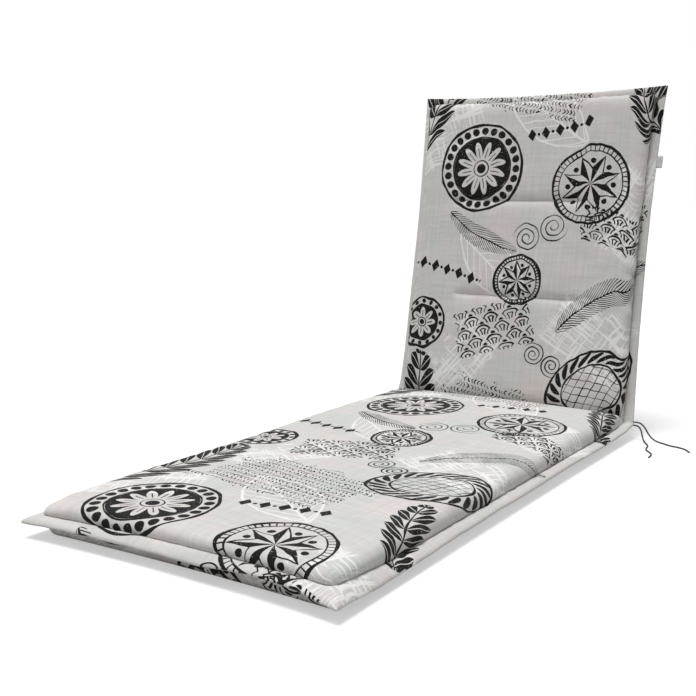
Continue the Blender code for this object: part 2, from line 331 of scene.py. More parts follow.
def unevenness(across, along, inset, upper, fromFold):
    # Height that the cloth stands above or below the plain form
    seed = 3.1 if upper else 17.7
    flat = noise.noise((across * softness["lumpScale"], along * softness["lumpScale"], seed))
    fine = noise.noise((across * softness["rippleScale"], along * softness["rippleScale"], seed + 5))
    rise = softness["lumpHeight"] * flat + softness["rippleHeight"] * fine
    rise *= limited(inset / pad["topWall"])
    if along > pad["seatLength"]:
        for quilt in quiltLines:
            away = abs(fromFold - quilt["fromFold"]) / softness["quiltPuckerReach"]
            inside = eased((across - quilt["left"] + pad["quiltFade"]) / pad["quiltFade"])
            inside *= eased((quilt["right"] + pad["quiltFade"] - across) / pad["quiltFade"])
            if away < 3 and inside > 0:
                pull = noise.noise((across * softness["quiltPuckerScale"], away * 0.8, seed + 30))
                rise += softness["quiltPucker"] * pull * inside * math.exp(-away * away) * limited(away * 6)
    return rise


def edgeWaving(across, along, level):
    wave = noise.noise((across * softness["edgeWaveScale"], along * softness["edgeWaveScale"], 41.0))
    crimp = noise.noise((across * softness["edgeCrimpScale"], along * softness["edgeCrimpScale"], 47.0))
    outward = 1 - limited(level / pad["edgeWidth"])
    return (softness["edgeWave"] * wave + softness["edgeCrimp"] * crimp) * outward


def surfaceHeights(across, along, level):
    # Heights of the upper and lower cover over the plane through the corners
    fromFold = abs(along - pad["seatLength"])
    inset = level - pad["edgeWidth"]
    over, under = edgeHalves(level, along)
    pinched = pad["foldEdgeRise"] * (1 - eased(fromFold / pad["foldRiseReach"]))
    dome = pad["dome"] * (1 - min(abs(across) / pad["half"], 1) ** 2)
    if along <= pad["seatLength"]:
        lift = read(footEdgeLift, "across", "lift", across) * (1 - eased(along / 0.06))
        # The droop is on the sides alone, and dies out towards the foot and the fold
        onSide = eased(along / 0.10) * (1 - eased((along + 0.12 - pad["seatLength"]) / 0.10))
        rim = lift - edgeSag(across, along) - pad["edgeDroop"] * onSide
        middle = mixed(rim, stitchRise(across, along), limited(level / pad["edgeWidth"]))
        swollen = read(swell, "fromFoot", "rise", along)
        crown = pad["crown"] + dome + swollen * (1 - 0.6 * (across / pad["half"]) ** 2)
        fromCorner = math.hypot(pad["half"] + across, along)
        crown -= pad["cornerTaper"] * (1 - eased(fromCorner / pad["taperReach"]))
        bottom = -pad["underside"]
    else:
        middle = 0.0
        quilt = quilting(across, fromFold)
        crown = pad["crown"] + dome - pad["quiltFrontDepth"] * quilt
        bottom = -pad["underside"] - dome + pad["quiltRearDepth"] * quilt
        bottom += unevenness(across, along, max(inset, 0), False, fromFold)
    calm = eased((fromFold - 0.01) / 0.05)
    middle += pinched + edgeWaving(across, along, level) * calm
    if inset <= 0:
        return middle + over, middle - under
    top = mixed(middle + over, crown, read(wallShape, "inset", "rise", inset))
    top += unevenness(across, along, inset, True, fromFold) * calm
    bottomShare = wall(inset, pad["bottomWall"], pad["bottomSquareness"])
    bottomShare *= wall(fromFold, pad["foldBottomWall"], 2.0)
    bottom = mixed(middle - under, bottom, bottomShare)
    return belowFold(fromFold, middle + over, top), bottom


def inPlace(across, along, height):
    # From the developed pad into the bent one, standing where the frame has it
    if along < pad["seatLength"]:
        return padPlace + Vector((across, along, pad["underside"] + height))
    fromFold = along - pad["seatLength"]
    lean = pad["backAngle"]
    if fromFold == 0:
        lean = pad["backAngle"] / 2
        height /= math.cos(lean)
    upTheBack = Vector((0, math.cos(pad["backAngle"]), math.sin(pad["backAngle"]))) * fromFold
    outOfIt = Vector((0, -math.sin(lean), math.cos(lean))) * height
    return padPlace + Vector((across, pad["seatLength"], pad["underside"])) + upTheBack + outOfIt


def leaning(distance, level, ruffle, free):
    # Distance from the rim of a point on the upper wall, which leans out over the stitching
    inset = distance - pad["edgeWidth"]
    if inset <= 0 or level <= pad["edgeWidth"]:
        return distance
    out = read(wallShape, "inset", "out", inset)
    fading = limited((pad["wallReach"] - inset) / pad["wallFade"])
    out = mixed(min(out, inset * pad["foldLeanLimit"]), out + ruffle * fading, free)
    return distance - out * limited((level - pad["edgeWidth"]) / max(min(inset, 0.003), 0.0001))


def developed(fromLeft, along, upper):
    # (across, along, level) of a crossing of two mesh lines, with the edges drawn in
    side = "Left" if fromLeft < pad["half"] else "Right"
    fromSide = min(fromLeft, pad["width"] - fromLeft)
    fromEnd = min(along, pad["length"] - along)
    level = min(fromSide, fromEnd)
    if upper:
        free = eased((abs(along - pad["seatLength"]) - 0.02) / 0.05)
        ruffle = gathers(fromLeft - pad["half"], along, max(level - pad["edgeWidth"], 0), 3.1)
        fromSide = leaning(fromSide, level, ruffle, free)
        fromEnd = leaning(fromEnd, level, ruffle, 1)
    fromSide, fromEnd = roundedCorner(fromSide, fromEnd)
    end = "foot" if along < pad["length"] / 2 else "head"
    along = fromEnd if end == "foot" else pad["length"] - fromEnd
    acrossShare = fromSide / pad["width"]
    fromSide += drawnInSide(side, along) * (1 - fromSide / pad["half"]) ** 2
    pulled = drawnIn[end] * bow(acrossShare) * (1 - limited(fromEnd / pad["endReach"])) ** 2
    along += pulled if end == "foot" else -pulled
    across = fromSide - pad["half"] if side == "Left" else pad["half"] - fromSide
    return across, along, level


def padPoint(fromLeft, along, upper):
    across, along, level = developed(fromLeft, along, upper)
    heights = surfaceHeights(across, along, level)
    return inPlace(across, along, heights[0] if upper else heights[1])


def taped(grid, columns, rows):
    # Cloth distances measured over the surface, from the middle column and from the foot
    middle = columns // 2
    across = [[0.0] * rows for _ in range(columns)]
    along = [[0.0] * rows for _ in range(columns)]
    for j in range(rows):
        for i in range(middle + 1, columns):
            across[i][j] = across[i - 1][j] + (grid[i][j] - grid[i - 1][j]).length
        for i in range(middle - 1, -1, -1):
            across[i][j] = across[i + 1][j] - (grid[i][j] - grid[i + 1][j]).length
    for i in range(columns):
        for j in range(1, rows):
            along[i][j] = along[i][j - 1] + (grid[i][j] - grid[i][j - 1]).length
    return across, along


def makeCushion():
    across = linesAcross()
    along = linesAlong()
    columns, rows = len(across), len(along)
    bm = bmesh.new()
    bmesh.ops.create_grid(bm, x_segments=columns - 1, y_segments=rows - 1, size=0.5)
    column = bm.verts.layers.int.new("column")
    row = bm.verts.layers.int.new("row")
    for vertex in bm.verts:
        vertex[column] = round((vertex.co.x + 0.5) * (columns - 1))
        vertex[row] = round((vertex.co.y + 0.5) * (rows - 1))
    made = bmesh.ops.extrude_face_region(bm, geom=bm.faces[:], use_keep_orig=True)
    lower = {item for item in made["geom"] if isinstance(item, bmesh.types.BMVert)}
    covers = {}
    for upper in (True, False):
        covers[upper] = [[padPoint(a, b, upper) for b in along] for a in across]
    for vertex in bm.verts:
        vertex.co = covers[vertex not in lower][vertex[column]][vertex[row]]
    bmesh.ops.recalc_face_normals(bm, faces=bm.faces[:])
    layer = bm.loops.layers.uv.new("cloth")
    tapes = {upper: taped(covers[upper], columns, rows) for upper in (True, False)}
    for face in bm.faces:
        onLower = all(vertex in lower for vertex in face.verts)
        for loop in face.loops:
            i, j = loop.vert[column], loop.vert[row]
            measured = tapes[not onLower]
            shift = 0.37 if onLower else 0.0      # the underside is cut from another stretch of cloth
            loop[layer].uv = (measured[0][i][j] + shift, measured[1][i][j] + shift * 1.3)
    piece = finished(bm, "padded_cushion", "cushion", printedCover())
    print("cushion", len(piece.data.polygons), "faces")
    return piece


def finished(bm, name, node, material):
    mesh = bpy.data.meshes.new(name)
    bm.to_mesh(mesh)
    bm.free()
    mesh.materials.append(material)
    mesh.shade_smooth()
    piece = bpy.data.objects.new(name, mesh)
    bpy.context.scene.collection.objects.link(piece)
    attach(piece, "root")
    if node:
        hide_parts(node)
    return piece


# Shader maths as expressions
class Wire:
    def __init__(self, tree, socket):
        self.tree = tree
        self.socket = socket

    def make(self, kind, settings=None, inputs=None, out=0):
        node = self.tree.nodes.new(kind)
        for name, value in (settings or {}).items():
            setattr(node, name, value)
        for name, value in (inputs or {}).items():
            if isinstance(value, Wire):
                self.tree.links.new(value.socket, node.inputs[name])
            else:
                node.inputs[name].default_value = value
        return Wire(self.tree, node.outputs[out])

    def maths(self, operation, *values):
        return self.make("ShaderNodeMath", {"operation": operation}, dict(enumerate(values)))

    def __add__(self, other):
        return self.maths("ADD", self, other)

    def __sub__(self, other):
        return self.maths("SUBTRACT", self, other)

    def __rsub__(self, other):
        return self.maths("SUBTRACT", other, self)

    def __mul__(self, other):
        return self.maths("MULTIPLY", self, other)

    def __truediv__(self, other):
        return self.maths("DIVIDE", self, other)

    def __rtruediv__(self, other):
        return self.maths("DIVIDE", other, self)

    def __gt__(self, other):
        return self.maths("GREATER_THAN", self, other)

    def __lt__(self, other):
        return self.maths("LESS_THAN", self, other)

    __radd__ = __add__
    __rmul__ = __mul__

    def size(self):
        return self.maths("ABSOLUTE", self)

    def most(self, other):
        return self.maths("MAXIMUM", self, other)

    def least(self, other):
        return self.maths("MINIMUM", self, other)

    def between(self, low, high, kind="SMOOTHSTEP"):
        # 0 below low and 1 above high
        return self.make("ShaderNodeMapRange", {"interpolation_type": kind},
                         {"Value": self, "From Min": low, "From Max": high})

    def folded(self, period):
        # Distance from the middle of the cell that this value lies in, with its sign
        return self.maths("WRAP", self, period / 2, -period / 2)


class Vectors(Wire):
    def vector(self, operation, *values, out=0):
        wire = self.make("ShaderNodeVectorMath", {"operation": operation}, dict(enumerate(values)), out)
        return Vectors(self.tree, wire.socket)

    def parts(self):
        node = self.tree.nodes.new("ShaderNodeSeparateXYZ")
        self.tree.links.new(self.socket, node.inputs[0])
        return [Wire(self.tree, node.outputs[k]) for k in range(3)]

    def scaled(self, x, y, z=1.0):
        return self.vector("MULTIPLY", self, (x, y, z))

    def grain(self, scale, detail=2.0, roughness=0.5):
        return self.make("ShaderNodeTexNoise", {"noise_dimensions": "2D"},
                         {"Vector": self, "Scale": scale, "Detail": detail, "Roughness": roughness})


def blended(share, first, second, kind="MIX"):
    node = share.tree.nodes.new("ShaderNodeMix")
    node.data_type = "RGBA"
    node.blend_type = kind
    share.tree.links.new(share.socket, node.inputs[0])
    for index, value in ((6, first), (7, second)):
        if isinstance(value, Wire):
            share.tree.links.new(value.socket, node.inputs[index])
        else:
            node.inputs[index].default_value = (*value, 1)
    return Wire(share.tree, node.outputs[2])


def principled(name, roughness):
    material = bpy.data.materials.new(name)
    material.use_nodes = True
    shader = material.node_tree.nodes["Principled BSDF"]
    shader.inputs["Roughness"].default_value = roughness
    shader.inputs["Specular IOR Level"].default_value = 0.18
    return material, shader


printing = {
    "tile": (0.660, 0.820),     # the print repeats after this much cloth
    "ink": (0.0052, 0.0050, 0.0048),
    "ground": (0.588, 0.578, 0.556),
    "groundPink": (0.612, 0.562, 0.548),
    "groundGreen": (0.566, 0.580, 0.552),
    "ghost": (0.82, 0.815, 0.79),
    "soft": 0.00035,            # half the blur at an ink line's edge
    "wobble": 0.0042,           # how far the hand-cut lines stray
    "wobbleScale": 15.0,
    "pressScale": 26.0,         # lines swell and thin where the block pressed harder or softer
}

# Places on the cloth: u from its middle line, v from its foot edge, both within one repeat
medallions = [
    {"kind": "daisy", "u": -0.115, "v": 0.118, "size": 0.104, "turn": 0.25, "petals": 12},
    {"kind": "star", "u": 0.158, "v": 0.072, "size": 0.088, "turn": 0.35, "petals": 8},
    {"kind": "wreath", "u": 0.205, "v": 0.435, "size": 0.078, "turn": 0.55, "petals": 22},
    {"kind": "daisy", "u": -0.235, "v": 0.560, "size": 0.060, "turn": 0.0, "petals": 8},
    {"kind": "star", "u": 0.005, "v": 0.672, "size": 0.058, "turn": 0.1, "petals": 8},
]
sprays = [
    {"kind": "leaves", "u": -0.235, "v": 0.325, "length": 0.330, "turn": 1.40, "bend": 0.9, "spread": 0.052,
     "pitch": 0.040},
    {"kind": "feather", "u": 0.205, "v": 0.640, "length": 0.250, "turn": 0.55, "bend": -1.5, "spread": 0.030,
     "pitch": 0.0085},
    {"kind": "leaves", "u": 0.270, "v": 0.245, "length": 0.210, "turn": 1.95, "bend": -1.5, "spread": 0.038,
     "pitch": 0.032},
    {"kind": "feather", "u": -0.100, "v": 0.770, "length": 0.200, "turn": -0.45, "bend": 1.6, "spread": 0.024,
     "pitch": 0.0080},
]
tickPatches = [
    {"u": -0.010, "v": 0.330, "wide": 0.290, "high": 0.170, "turn": -0.22, "row": 0.0155},
]
scalePatches = [
    {"u": -0.045, "v": 0.555, "wide": 0.190, "high": 0.110, "turn": 0.30, "row": 0.0250},
    {"u": 0.230, "v": 0.790, "wide": 0.150, "high": 0.080, "turn": -0.20, "row": 0.0220},
]
diamondRows = [
    {"u": -0.180, "v": 0.690, "length": 0.190, "turn": -0.25},
    {"u": 0.075, "v": 0.205, "length": 0.160, "turn": 0.18},
]
scrolls = [
    {"u": 0.050, "v": 0.785, "size": 0.034, "turn": 0.4},
    {"u": 0.085, "v": 0.490, "size": 0.026, "turn": -0.5},
]
ghosts = [
    {"kind": "leaf", "u": 0.040, "v": 0.245, "length": 0.260, "turn": 2.5, "spread": 0.060},
    {"kind": "brush", "u": -0.220, "v": 0.190, "length": 0.260, "turn": 0.35, "spread": 0.075},
    {"kind": "brush", "u": 0.190, "v": 0.540, "length": 0.240, "turn": -0.55, "spread": 0.080},
    {"kind": "leaf", "u": -0.060, "v": 0.700, "length": 0.240, "turn": -0.7, "spread": 0.052},
    {"kind": "brush", "u": -0.120, "v": 0.470, "length": 0.230, "turn": 0.9, "spread": 0.060},
    {"kind": "brush", "u": 0.260, "v": 0.010, "length": 0.220, "turn": 1.2, "spread": 0.060},
]


def placed(cloth, spot):
    # Coordinates round a motif's own place, repeated with the print's tile
    wide, high = printing["tile"]
    near = cloth.vector("SUBTRACT", cloth, (spot["u"], spot["v"], 0))
    near = near.vector("WRAP", near, (wide / 2, high / 2, 1), (-wide / 2, -high / 2, -1))
    near = near.make("ShaderNodeVectorRotate", {"rotation_type": "Z_AXIS"},
                     {"Vector": near, "Angle": -spot["turn"]})
    return Vectors(cloth.tree, near.socket)


class Block:
    # The printing block: draws lines and fills as masks, pressed unevenly
    def __init__(self, cloth):
        self.cloth = cloth
        self.press = cloth.grain(printing["pressScale"], 1.0) * 1.5 + 0.25

    def line(self, distance, width):
        soft = printing["soft"]
        return 1 - (distance.size() - self.press * (width / 2)).between(-soft, soft, "LINEAR")

    def fill(self, distance):
        # 1 where the distance is negative
        soft = printing["soft"]
        return 1 - distance.between(-soft, soft, "LINEAR")

    def daisy(self, near, spot):
        size, count = spot["size"], spot["petals"]
        radius, angle = polar(near)
        cell = angle.folded(2 * math.pi / count)
        ink = self.line(radius - size, 0.0064).most(self.line(radius - size * 0.71, 0.0042))
        bead = angle.folded(math.pi / count) * (size * 0.855 / (size * 0.085))
        band = (radius - size * 0.855) / (size * 0.088)
        ink = ink.most(self.fill((bead * bead + band * band - 1) * 0.003))
        petal = cell.maths("COSINE", cell * (count / 2)) * (size * 0.34) + size * 0.27
        dark = self.fill(petal - radius) * (radius < size * 0.69)
        vein = self.line(cell * radius, 0.0020) * (radius > size * 0.24) * (radius < size * 0.47)
        ink = ink.most(dark).most(vein)
        return ink.most(self.fill(radius - size * 0.11)).most(self.line(radius - size * 0.18, 0.0026))

    def star(self, near, spot):
        size, count = spot["size"], spot["petals"]
        radius, angle = polar(near)
        cell = angle.folded(2 * math.pi / count)
        ink = self.line(radius - size, 0.0060).most(self.line(radius - size * 0.84, 0.0032))
        tick = self.line(angle.folded(math.pi / (count * 3)) * radius, 0.0026)
        ink = ink.most(tick * (radius > size * 0.84) * (radius < size))
        along = radius * cell.maths("COSINE", cell)
        aside = radius * cell.maths("SINE", cell)
        outline = aside.size() * 2.5 + along - size * 0.76
        ink = ink.most(self.line(outline * 0.37, 0.0028)).most(self.fill(outline) * (aside > 0))
        turned = (cell.size() - math.pi / count) * radius
        dots = (radius - size * 0.60) * (radius - size * 0.60) + turned * turned
        return ink.most(self.fill(dots.maths("SQRT", dots) - size * 0.070))

    def wreath(self, near, spot):
        size, count = spot["size"], spot["petals"]
        near = near.scaled(0.70, 1.0)
        radius, angle = polar(near)
        cell = (angle + (radius - size * 0.83) * 16).folded(2 * math.pi / count) * (size / 0.0078)
        band = (radius - size * 0.83) / (size * 0.145)
        ink = self.fill((cell * cell + band * band - 1) * 0.003)
        ink = ink.most(self.line(radius - size, 0.0046)).most(self.line(radius - size * 0.65, 0.0036))
        x, y, _ = near.parts()
        lattice = self.line((x + y).folded(0.021), 0.0022).most(self.line((x - y).folded(0.021), 0.0022))
        return ink.most(lattice * (radius < size * 0.62))

    def spray(self, near, spot):
        # A bent stem with leaves, or with a feather's fine barbs, on both sides
        length, spread, pitch = spot["length"], spot["spread"], spot["pitch"]
        x, y, _ = near.parts()
        y = y - x * x * spot["bend"]
        share = x / length + 0.5
        room = (share * (1 - share) * 4).most(0.0)
        aside = y.size()
        onStem = x.size() < length / 2
        if spot["kind"] == "feather":
            reach = room.maths("SQRT", room) * spread
            barbs = self.line((x - aside * 1.5).folded(pitch), 0.0028) * (aside < reach)
            return (self.line(y, 0.0030).most(barbs)) * onStem
        lean = math.radians(42)
        offAxis = (x - aside / math.tan(lean)).folded(pitch) * math.sin(lean)
        run = (aside / ((room.maths("POWER", room, 0.35) + 0.02) * spread)).least(1.0)
        width = run * (1 - run) * (pitch * 1.25)
        leaf = self.fill(offAxis.size() - width) * (offAxis.size() > 0.0008)
        return (self.line(y, 0.0032).most(leaf)) * onStem

    def ticks(self, near, patch):
        # Rows of slanting strokes that lean left and right in turn, like a knitted band
        x, y, _ = near.parts()
        row = patch["row"]
        inRow = y.folded(row)
        lean = (y.folded(row * 2) > 0) * 2 - 1
        uneven = near.grain(60.0, 0.0) * 0.010
        tick = self.line((x + uneven + inRow * lean * 0.8).folded(0.0092), 0.0029)
        tick = tick * (inRow.size() < row * 0.34)
        ragged = near.grain(22.0, 1.0) * 0.10 - 0.05
        inside = ((x + ragged).size() < patch["wide"] / 2) * ((y + ragged * 0.5).size() < patch["high"] / 2)
        return tick * inside

    def scales(self, near, patch):
        # Rows of arches, each row set off by half an arch
        x, y, _ = near.parts()
        row = patch["row"]
        odd = (y.folded(row * 2) > 0) * row
        x0 = (x + odd).folded(row * 2)
        y0 = y.folded(row) + row / 2
        radius = (x0 * x0 + y0 * y0).maths("SQRT", x0 * x0 + y0 * y0)
        arcs = self.line(radius - row * 0.88, 0.0036).most(self.line(radius - row * 0.56, 0.0026))
        arcs = arcs.most(self.fill(radius - row * 0.24))
        ragged = near.grain(20.0, 1.0) * 0.06 - 0.03
        inside = ((x + ragged).size() < patch["wide"] / 2) * (y.size() < patch["high"] / 2)
        return arcs * inside

    def diamonds(self, near, spot):
        x, y, _ = near.parts()
        cell = x.folded(0.034)
        body = (cell.size() / 0.0105 + y.size() / 0.0150 - 1) * 0.006
        between = (cell.size() - 0.017)
        dots = between * between + y * y
        ink = self.fill(body).most(self.fill(dots.maths("SQRT", dots) - 0.0036))
        return ink * (x.size() < spot["length"] / 2)

    def scroll(self, near, spot):
        # Two coiled tendrils, each the other turned half round
        x, y, _ = near.parts()
        side = (x > 0) * 2 - 1
        cx = x * side - spot["size"]
        cy = y * side
        radius = (cx * cx + cy * cy).maths("SQRT", cx * cx + cy * cy)
        angle = cy.maths("ARCTAN2", cy, cx)
        gap = spot["size"] * 0.36
        coil = self.line((radius - angle * (gap / (2 * math.pi))).folded(gap), 0.0028)
        inside = (radius < spot["size"] * 1.02) * (radius > spot["size"] * 0.14)
        return coil * inside

    def ghostLeaf(self, near, spot):
        x, y, _ = near.parts()
        share = x / spot["length"] + 0.5
        taper = (share * (1 - share) * 4).most(0.0)
        aside = y.size()
        edge = self.line(aside - taper * spot["spread"], 0.0044)
        veins = self.line((x - aside * 1.1).folded(0.024), 0.0034) * (aside < taper * spot["spread"])
        return edge.most(veins).most(self.line(y, 0.0040)) * (x.size() < spot["length"] / 2)

    def ghostBrush(self, near, spot):
        x, y, _ = near.parts()
        first = near.scaled(8.0, 190.0).grain(1.0, 1.0).between(0.50, 0.60)
        second = near.scaled(170.0, 10.0).grain(1.0, 1.0).between(0.55, 0.66)
        ragged = near.grain(18.0, 2.0) * 0.10 - 0.05
        inside = 1 - ((x + ragged).size() / (spot["length"] / 2)).most((y + ragged).size() / spot["spread"])
        return first.most(second) * inside.between(0.0, 0.25)


def polar(near):
    radius = Wire(near.tree, near.vector("LENGTH", near, out=1).socket)
    x, y, _ = near.parts()
    return radius, y.maths("ARCTAN2", y, x)


def gathered(masks):
    whole = masks[0]
    for mask in masks[1:]:
        whole = whole.most(mask)
    return whole


def inkMask(cloth):
    block = Block(cloth)
    drawn = {"daisy": block.daisy, "star": block.star, "wreath": block.wreath}
    masks = [drawn[spot["kind"]](placed(cloth, spot), spot) for spot in medallions]
    masks += [block.spray(placed(cloth, spot), spot) for spot in sprays]
    masks += [block.ticks(placed(cloth, spot), spot) for spot in tickPatches]
    masks += [block.scales(placed(cloth, spot), spot) for spot in scalePatches]
    masks += [block.diamonds(placed(cloth, spot), spot) for spot in diamondRows]
    masks += [block.scroll(placed(cloth, spot), spot) for spot in scrolls]
    worn = cloth.grain(240.0, 3.0, 0.65).between(0.24, 0.33)
    return gathered(masks) * worn


def ghostMask(cloth):
    block = Block(cloth)
    drawn = {"leaf": block.ghostLeaf, "brush": block.ghostBrush}
    return gathered([drawn[spot["kind"]](placed(cloth, spot), spot) for spot in ghosts])


def printedCover():
    material, shader = principled("printed_cover", 0.86)
    tree = material.node_tree
    shader.inputs["Sheen Weight"].default_value = 0.08
    shader.inputs["Sheen Roughness"].default_value = 0.5
    start = Wire(tree, None)
    flat = Vectors(tree, start.make("ShaderNodeUVMap", {"uv_map": "cloth"}).socket)
    swirl = flat.make("ShaderNodeTexNoise", {"noise_dimensions": "2D"},
                      {"Vector": flat, "Scale": printing["wobbleScale"], "Detail": 1.0}, out=1)
    swirl = flat.vector("SUBTRACT", swirl, (0.5, 0.5, 0.5))
    cloth = flat.vector("ADD", flat, swirl.scaled(printing["wobble"], printing["wobble"], 0))
    # Ground: slubs in both directions over a soft mottle
    mottle = flat.grain(6.0, 3.0)
    patchy = flat.vector("ADD", flat, (3.3, 1.7, 0)).grain(11.0, 3.0)
    weft = flat.scaled(22.0, 620.0).grain(1.0, 2.0)
    warp = flat.scaled(700.0, 30.0).grain(1.0, 2.0)
    slub = weft + warp - 1.0
    streaks = flat.scaled(9.0, 150.0).grain(1.0, 2.0) + flat.scaled(170.0, 8.0).grain(1.0, 2.0) - 1.0
    colour = blended(mottle.between(0.40, 0.62), printing["groundGreen"], printing["groundPink"])
    colour = blended(patchy.between(0.35, 0.70), colour, printing["ground"])
    tone = slub * 0.15 + streaks * 0.18 + mottle * 0.14 + 0.93
    colour = Vectors(tree, colour.socket).vector("SCALE", colour)
    tree.links.new(tone.socket, colour.socket.node.inputs["Scale"])
    colour = blended(ghostMask(cloth) * 0.80, colour, printing["ghost"])
    colour = blended(inkMask(cloth), colour, printing["ink"])
    tree.links.new(colour.socket, shader.inputs["Base Color"])
    # Weave relief: fine threads crossing, and the slubs over them
    x, y, _ = flat.parts()
    threads = (x * (2 * math.pi / 0.0011)).maths("SINE", x * (2 * math.pi / 0.0011))
    crossing = (y * (2 * math.pi / 0.0011)).maths("SINE", y * (2 * math.pi / 0.0011))
    relief = threads * crossing * 0.25 + slub * 1.2
    bump = start.make("ShaderNodeBump", None, {"Height": relief, "Strength": 0.30, "Distance": 0.0003})
    tree.links.new(bump.socket, shader.inputs["Normal"])
    return material


stitch = {
    "length": 0.0034,
    "thickness": 0.0006,
    "pitch": 0.0046,
    "proud": 0.0001,
    "colour": (0.46, 0.45, 0.43),
}


def makeStitches():
    # Thread that shows along the quilt lines, on the front and on the rear of the back
    material, shader = principled("sewing_thread", 0.7)
    shader.inputs["Base Color"].default_value = (*stitch["colour"], 1)
    size = (stitch["length"], stitch["thickness"], stitch["thickness"])
    bm = bmesh.new()
    for quilt in quiltLines:
        along = pad["seatLength"] + quilt["fromFold"]
        count = round((quilt["right"] - quilt["left"]) / stitch["pitch"])
        for k in range(count + 1):
            across = mixed(quilt["left"], quilt["right"], k / count)
            front, rear = surfaceHeights(across, along, pad["half"] - abs(across))
            for height in (front + stitch["proud"], rear - stitch["proud"]):
                made = bmesh.ops.create_icosphere(bm, subdivisions=1, radius=0.5)["verts"]
                bmesh.ops.scale(bm, vec=size, verts=made)
                bmesh.ops.translate(bm, vec=inPlace(across, along, height), verts=made)
    piece = finished(bm, "quilt_stitches", None, material)
    print("stitches", len(piece.data.polygons), "faces")
    return piece


tab = {
    "fromFold": 0.581,
    "height": 0.026,
    "reach": 0.0125,
    "thickness": 0.0014,
    "gap": 0.0003,
    "colour": (0.66, 0.66, 0.65),
}


def labelTape():
    material, shader = principled("label_tape", 0.7)
    tree = material.node_tree
    start = Wire(tree, None)
    place = Vectors(tree, start.make("ShaderNodeTexCoord", out=3).socket)
    x, y, z = place.parts()
    ribs = (z * (2 * math.pi / 0.0008)).maths("SINE", z * (2 * math.pi / 0.0008))
    threads = (x * (2 * math.pi / 0.0006)).maths("SINE", x * (2 * math.pi / 0.0006))
    fuzz = place.make("ShaderNodeTexNoise", None, {"Vector": place, "Scale": 900.0, "Detail": 2.0})
    colour = blended(fuzz.between(0.3, 0.7), tab["colour"], tuple(c * 0.86 for c in tab["colour"]))
    tree.links.new(colour.socket, shader.inputs["Base Color"])
    bump = start.make("ShaderNodeBump", None, {"Height": ribs + threads * 0.5, "Strength": 0.4,
                                               "Distance": 0.0002})
    tree.links.new(bump.socket, shader.inputs["Normal"])
    return material


def makeLabel():
    # A strip folded in half: two leaves that meet in a soft rounded fold at the outer end
    bm = bmesh.new()
    bmesh.ops.create_cube(bm, size=1)
    bmesh.ops.subdivide_edges(bm, edges=bm.edges[:], cuts=7, use_grid_fill=True)
    for vertex in bm.verts:
        out, up, through = vertex.co.x + 0.5, vertex.co.y, vertex.co.z
        along = pad["seatLength"] + tab["fromFold"] + up * tab["height"]
        edge = pad["half"] - drawnInSide("Right", along)
        round_ = math.sqrt(max(1 - limited((out - 0.9) / 0.1) ** 2, 0.02))
        pinch = 0.55 + 0.45 * math.sin(math.pi * limited(out * 0.9 + 0.05))
        curl = 0.0009 * math.sin(out * 2.2) * (1 + 0.6 * up)
        height = through * tab["thickness"] * round_ * pinch + curl
        across = edge + tab["gap"] + out * tab["reach"] * (1 - 0.03 * (2 * up) ** 2)
        vertex.co = inPlace(across, along, height)
    bmesh.ops.recalc_face_normals(bm, faces=bm.faces[:])
    piece = finished(bm, "side_tab", "side_label", labelTape())
    print("tab", len(piece.data.polygons), "faces")
    return piece


tie = {
    "diameter": 0.0035,
    "sides": 18,
    "ring": 0.0011,             # spacing of the rings along the cord
    "plait": 0.0052,            # length of one turn of a strand
    "relief": 0.00016,
    "colour": (0.040, 0.040, 0.040),
}
# Routes as in the solids: x from the right edge, y from the fold, z above the surface
lowerRoute = [
    (0.0003, -0.0052, 0.0315), (0.0062, -0.0052, 0.0312), (0.0118, -0.0058, 0.0290),
    (0.0162, -0.0076, 0.0246), (0.0196, -0.0108, 0.0190), (0.0226, -0.0152, 0.0134),
    (0.0262, -0.0208, 0.0084), (0.0308, -0.0274, 0.0048), (0.0366, -0.0350, 0.0027),
    (0.0428, -0.0440, 0.0019), (0.0472, -0.0546, 0.0018), (0.0492, -0.0662, 0.0018),
    (0.0512, -0.0780, 0.0018), (0.0556, -0.0892, 0.0018), (0.0626, -0.0992, 0.0018),
    (0.0700, -0.1090, 0.0018), (0.0750, -0.1200, 0.0018), (0.0768, -0.1322, 0.0018),
    (0.0774, -0.1444, 0.0018),
]
upperRoute = [
    (-0.0009, -0.0024, 0.0376), (0.0058, -0.0024, 0.0381), (0.0124, -0.0020, 0.0370),
    (0.0178, -0.0016, 0.0338), (0.0226, -0.0014, 0.0290), (0.0268, -0.0016, 0.0232),
    (0.0310, -0.0022, 0.0172), (0.0358, -0.0032, 0.0116), (0.0416, -0.0048, 0.0070),
    (0.0488, -0.0070, 0.0038), (0.0576, -0.0100, 0.0022), (0.0674, -0.0146, 0.0018),
    (0.0772, -0.0208, 0.0018), (0.0880, -0.0262, 0.0018), (0.0998, -0.0294, 0.0018),
    (0.1114, -0.0336, 0.0018), (0.1214, -0.0406, 0.0018), (0.1290, -0.0500, 0.0018),
    (0.1358, -0.0600, 0.0018),
]


